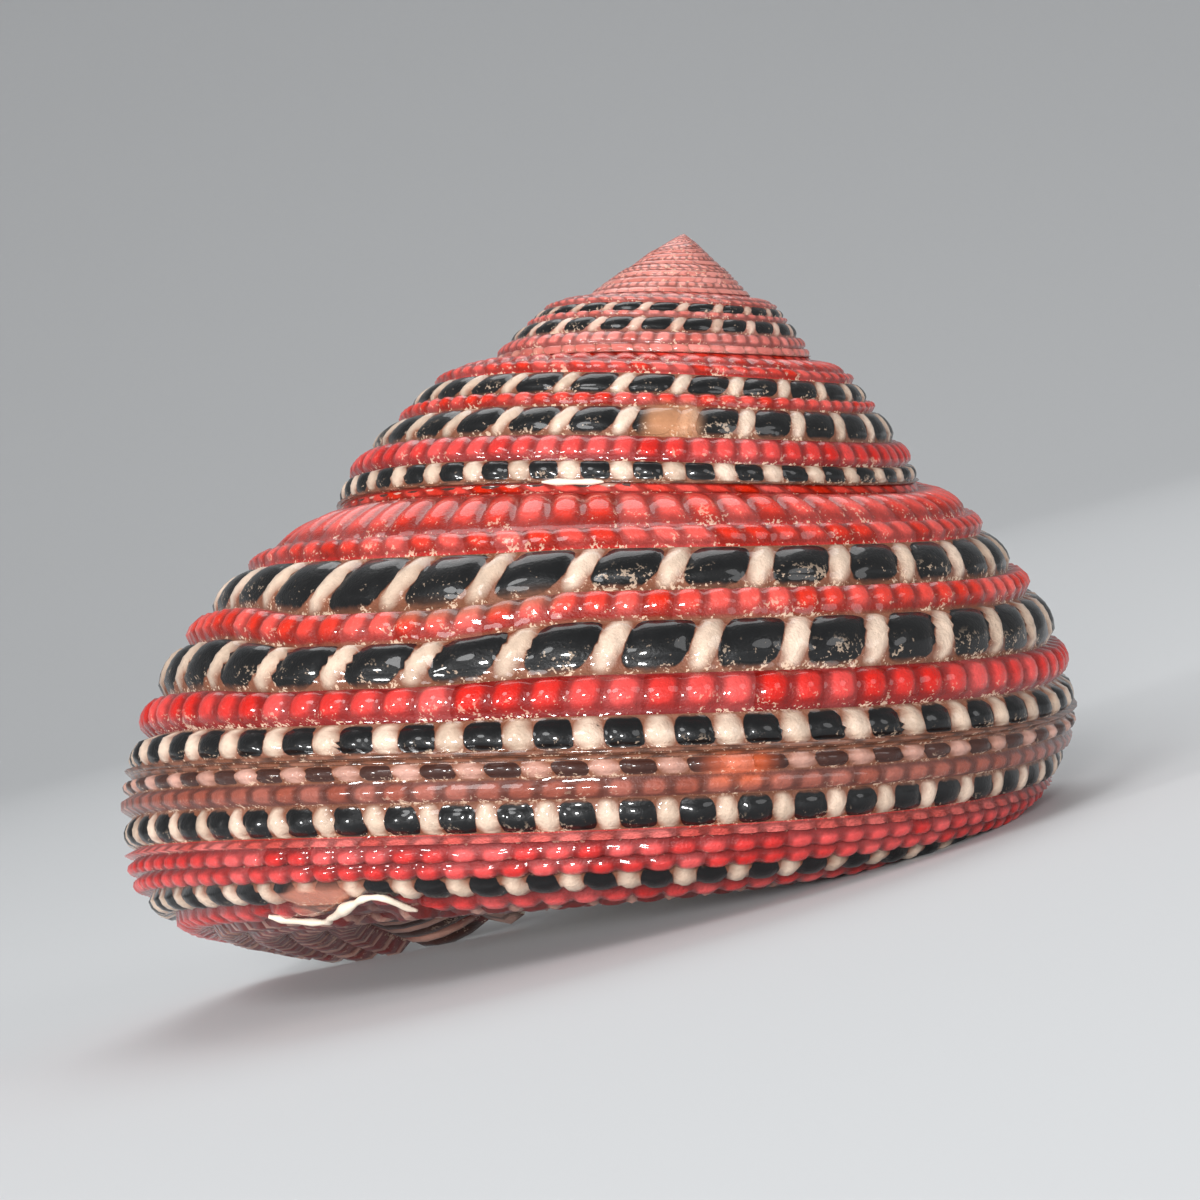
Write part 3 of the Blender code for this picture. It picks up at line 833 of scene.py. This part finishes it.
# %% [markdown]
# ## The hollow and the lip
#
# The wall is thick, and thins to the lip. On the inside the outer lip is grooved, and a tooth
# stands at the foot of the pillar. A wall of even thickness could be made with a modifier, but the
# real one changes, so every point of the hollow is set in from the outside by its own depth. It is
# drawn only as far back as it can be seen from the mouth.

# %% The hollow
# Thickness in millimetres of the wall and of the lip, and the turns over which the lip thickens
WALL, LIP_WALL, LIP_SPAN = 0.95, 0.72, 0.05
# Height of the ridges inside, how many there are to one of height, and the heights they cover
RIDGE, RIDGES, RIDGED = 0.10, 1.5, (1.5, 15.5, 1.0)
# Height of the tooth, the turns it runs back, its place on the section and its width there
TOOTH, TOOTH_SPAN, TOOTH_PLACE, TOOTH_WIDTH = 0.8, 0.07, 16.8, 0.35
HOLLOW_BACK, HOLLOW_TOP = MOUTH_TURN - 0.40, 0.6
# The hollow's roof and the back of its pillar follow the whorl before, at these heights, and the
# roof lies a little further in
ROOF_HEIGHT, ROOF_IN, PILLAR_HEIGHT = 7.6, 0.35, 16.2


def hollow_point(height, turn, from_mouth):
    """A point of the hollow's wall, inside the outer wall at the same height."""
    place, normal = section(height, turn)
    depth = mixed(LIP_WALL, WALL, np.clip(from_mouth / LIP_SPAN, 0, 1))
    ridge = RIDGE * np.cos(height * 2 * np.pi * RIDGES) * window(np.array(height), *RIDGED)
    beside = math.exp(-((height - TOOTH_PLACE) / TOOTH_WIDTH) ** 2)
    tooth = TOOTH * np.clip(1 - from_mouth / TOOTH_SPAN, 0, 1) * beside
    return place - normal * (depth + ridge + tooth)[..., None]


columns = np.linspace(HOLLOW_BACK, MOUTH_TURN, 64)
from_mouth = MOUTH_TURN - columns
hollow_heights = np.linspace(HOLLOW_TOP, LAST, 72)
rows, row_turns = [], []
top_turn = columns + LIP_LEAD - 1
rows.append(section(ROOF_HEIGHT, top_turn)[0] + np.array([-ROOF_IN, 0.0]))
row_turns.append(top_turn + 1)
for height in hollow_heights:
    turn = columns + lead(height)
    rows.append(hollow_point(height, turn, from_mouth))
    row_turns.append(turn)
foot_turn = columns - 1
rows.append(section(PILLAR_HEIGHT, foot_turn)[0])
row_turns.append(foot_turn + 1)
turns_grid = np.stack(row_turns, 1)
hollow_places = np.stack(rows, 1)
hollow = new_strip("hollow", laid_down(round_axis(hollow_places, turns_grid)), inside, lining=True)
parts.append(hollow)
print("hollow has", len(columns), "columns and", len(rows), "rows")

# %% The lip
# How far, in turns, the middle of the rounded lip and of the pillar's edge stands out
LIP_SWELL, PILLAR_SWELL = 0.0035, 0.004
lip_heights, outer, lip_turns = (np.concatenate(pair) for pair in zip(*margins))
inner = np.stack([
    hollow_point(max(height, HOLLOW_TOP), np.array([turn]), np.array([0.0]))[0]
    for height, turn in zip(lip_heights, lip_turns)
])
lip_columns = []
for share_across in np.linspace(0, 1, 6):
    swell = LIP_SWELL * math.sin(math.pi * share_across)
    lip_columns.append(round_axis(mixed(outer, inner, share_across), lip_turns + swell))
lip = new_strip("lip", laid_down(np.stack(lip_columns, 0)), inside)
parts.append(lip)
print("the lip has", len(lip_heights), "points along the mouth")

# %% The edge of the pillar
PILLAR_POINTS = 12
foot = hollow_places[-1, -2]
roof = hollow_places[-1, -1]
edge_columns = []
for share_across in np.linspace(0, 1, 7):
    swell = PILLAR_SWELL * math.sin(math.pi * share_across)
    line_places = np.stack([
        mixed(mixed(wall[-1, 0], wall[-1, -1], step), mixed(foot, roof, step), share_across)
        for step in np.linspace(0, 1, PILLAR_POINTS)
    ])
    edge_columns.append(round_axis(line_places, np.full(PILLAR_POINTS, MOUTH_TURN + swell)))
pillar = new_strip("pillar", laid_down(np.stack(edge_columns, 0)), inside)
parts.append(pillar)
print("the pillar's edge is", round(float(np.linalg.norm(wall[-1, 0] - foot)), 2), "mm wide at its foot")

# %% [markdown]
# ## The healed break
#
# The shell once broke at its base. The snail mended it from inside, so the new surface lies a little
# lower, and the broken margin still stands out as a thin, ragged white edge. Paint alone would look
# flat, so the edge is a thin round line that follows the margin and swells and thins along it.

# %% The white edge
# The radius of the line, and how deep its middle lies in the surface, in millimetres
EDGE_RADIUS, EDGE_DEPTH = 0.082, 0.02
edge_data = bpy.data.curves.new("white_edge", "CURVE")
edge_data.dimensions = "3D"
edge_data.bevel_depth = EDGE_RADIUS * MM
edge_data.bevel_resolution = 2
edge_data.resolution_u = 4
edge_data.use_fill_caps = True
for edge in (BREAK_EDGE, SEAM_EDGE):
    line = edge_data.splines.new("BEZIER")
    line.bezier_points.add(len(edge) - 1)
    for point, (turn, height, thick) in zip(line.bezier_points, edge):
        at = np.array([turn])
        place, normal = section(height, at)
        point.co = laid_down(round_axis(place - normal * EDGE_DEPTH, at))[0]
        point.handle_left_type = point.handle_right_type = "AUTO"
        point.radius = thick
edge_curve = bpy.data.objects.new("white_edge", edge_data)
bpy.context.scene.collection.objects.link(edge_curve)
bone, tree, surface = new_material("broken_margin")
surface.inputs["Base Color"].default_value = (*BONE, 1.0)
surface.inputs["Roughness"].default_value = 0.45
evaluated = edge_curve.evaluated_get(bpy.context.evaluated_depsgraph_get())
edge_mesh = bpy.data.meshes.new_from_object(evaluated)
edge_mesh.materials.clear()
edge_mesh.materials.append(bone)
edge_mesh.shade_smooth()
bpy.data.objects.remove(edge_curve)
white_edge = bpy.data.objects.new("white_edge", edge_mesh)
bpy.context.scene.collection.objects.link(white_edge)
parts.append(white_edge)
print("the white edge has", len(edge_mesh.polygons), "faces")

# %% [markdown]
# ## One shell
#
# The strips are joined into one piece, as the snail made it, and the points that two strips share
# become one. Faces without area, at the tip and where the surface is worn flat, are taken out. The
# piece stands for the shell of the CAD frame and rides on its only body.

# %% Join the strips and hand them to the frame
SAME_PLACE = 1e-7
for part in parts:
    mesh = part.data
    bm = bmesh.new()
    bm.from_mesh(mesh)
    bmesh.ops.dissolve_degenerate(bm, edges=bm.edges, dist=SAME_PLACE)
    bm.to_mesh(mesh)
    bm.free()
for other in bpy.context.selected_objects:
    other.select_set(False)
for part in parts:
    part.select_set(True)
bpy.context.view_layer.objects.active = parts[0]
bpy.ops.object.join()
shell = parts[0]
shell.name = "strawberry_top_shell"
bm = bmesh.new()
bm.from_mesh(shell.data)
bmesh.ops.remove_doubles(bm, verts=bm.verts, dist=SAME_PLACE)
# The smooth shading stops at the line where two materials meet
for edge in bm.edges:
    edge.smooth = len({face.material_index for face in edge.link_faces}) < 2
bm.to_mesh(shell.data)
bm.free()
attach(shell, "root")
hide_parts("shell")
triangles = sum(len(face.vertices) - 2 for face in shell.data.polygons)
print("the shell has", triangles, "triangles")

# %% [markdown]
# ## The table, the light and the camera
#
# A pale paper sweep runs from under the shell up behind it, so no edge shows. Five round soft lights
# stand round it: a key light at the front left, a fill light at the right, two small ones in front
# and at the side for the shine on the beads, and a wide one behind. A small shell is best taken from
# far away through a long lens, which keeps its form. The camera looks level at the shell's axis,
# and is turned so that the spire points up in the picture.

# %% The paper sweep
# Metres: half the paper's width, its front edge, its flat length, and its height behind, with a
# bend of even steps between
HALF_WIDTH, FRONT, FLAT, HEIGHT = 0.9, -0.6, 0.9, 0.8
BEND_STEP, BEND_STEPS = 0.03, 16
sweep_bm = bmesh.new()
edge = [sweep_bm.verts.new((side * HALF_WIDTH, FRONT, 0.0)) for side in (-1, 1)]
line = sweep_bm.edges.new(edge)


def pull(lines, move):
    """Pulls a line of edges on, and gives the new line."""
    made = bmesh.ops.extrude_edge_only(sweep_bm, edges=lines)["geom"]
    points = [piece for piece in made if isinstance(piece, bmesh.types.BMVert)]
    edges = [piece for piece in made if isinstance(piece, bmesh.types.BMEdge)]
    bmesh.ops.translate(sweep_bm, verts=points, vec=move)
    return [edge for edge in edges if all(point in points for point in edge.verts)]


lines = pull([line], Vector((0, FLAT, 0)))
for step in range(BEND_STEPS):
    angle = math.radians(90 * (step + 0.5) / BEND_STEPS)
    lines = pull(lines, Vector((0, math.cos(angle), math.sin(angle))) * BEND_STEP)
lines = pull(lines, Vector((0, 0, HEIGHT)))
mesh = bpy.data.meshes.new("paper_sweep")
sweep_bm.to_mesh(mesh)
sweep_bm.free()
mesh.shade_smooth()
paper, tree, surface = new_material("pale_paper")
surface.inputs["Base Color"].default_value = colour_of(206, 208, 210)
surface.inputs["Roughness"].default_value = 0.9
surface.inputs["Specular IOR Level"].default_value = 0.1
mesh.materials.append(paper)
sweep = bpy.data.objects.new("paper_sweep", mesh)
bpy.context.scene.collection.objects.link(sweep)
print("the paper sweep has", len(mesh.polygons), "faces")

# %% The lights
WORLD_STRENGTH = 0.36
MIDDLE = Vector((0, 0, 0.007))


def soft_light(name, place, size, power):
    """A round soft light that looks at the shell's middle."""
    data = bpy.data.lights.new(name, "AREA")
    data.shape, data.size, data.energy = "DISK", size, power
    light_object = bpy.data.objects.new(name, data)
    light_object.location = place
    aim = MIDDLE - Vector(place)
    light_object.rotation_euler = aim.to_track_quat("-Z", "Y").to_euler()
    bpy.context.scene.collection.objects.link(light_object)


soft_light("key", (-0.12, -0.24, 0.22), 0.12, 0.34)
soft_light("fill", (0.26, -0.20, 0.10), 0.16, 0.20)
soft_light("front", (-0.030, -0.30, 0.050), 0.05, 0.70)
soft_light("side", (-0.24, -0.17, 0.06), 0.05, 0.40)
soft_light("back", (0.05, 0.20, 0.34), 0.30, 0.55)
world = bpy.data.worlds.new("studio")
bpy.context.scene.world = world
world.use_nodes = True
world.node_tree.nodes["Background"].inputs["Color"].default_value = (1.0, 1.0, 1.0, 1.0)
world.node_tree.nodes["Background"].inputs["Strength"].default_value = WORLD_STRENGTH
print("lights:", [thing.name for thing in bpy.context.scene.objects if thing.type == "LIGHT"])

# %% The camera
# The picture's width, where the shell's axis and its tip are in it, and the lens, all in pixels
WIDTH, AXIS_ACROSS, TIP_DOWN, LENS = 1200, 683.4, 237.7, 3995
LEAN, PITCH = math.radians(4.067), math.radians(-0.436)
PIXELS_A_MM = 43.3
FILM = 36.0
AIM = ((WIDTH / 2 - AXIS_ACROSS) / PIXELS_A_MM, (WIDTH / 2 - TIP_DOWN) / PIXELS_A_MM)
DISTANCE = LENS / PIXELS_A_MM
right = Vector((math.cos(LEAN), 0, math.sin(LEAN)))
straight_down = Vector((math.sin(LEAN), 0, -math.cos(LEAN)))
down = straight_down * math.cos(PITCH) + Vector((0, -1, 0)) * math.sin(PITCH)
back = Vector((0, -1, 0)) * math.cos(PITCH) - straight_down * math.sin(PITCH)
eye = right * AIM[0] + down * AIM[1] + back * DISTANCE
eye = (REST_TURN @ eye + REST_MOVE) * MM
turned = Matrix((REST_TURN @ right, REST_TURN @ -down, REST_TURN @ back)).transposed()
camera_data = bpy.data.cameras.new("camera")
camera_data.sensor_width = FILM
camera_data.lens = FILM * LENS / WIDTH
camera_data.clip_start, camera_data.clip_end = 0.005, 10.0
camera = bpy.data.objects.new("camera", camera_data)
camera.matrix_world = Matrix.Translation(eye) @ turned.to_4x4()
bpy.context.scene.collection.objects.link(camera)
bpy.context.scene.camera = camera
print("camera at", [round(value * 1000, 1) for value in eye], "mm")

bpy.context.scene.view_settings.view_transform = "Standard"
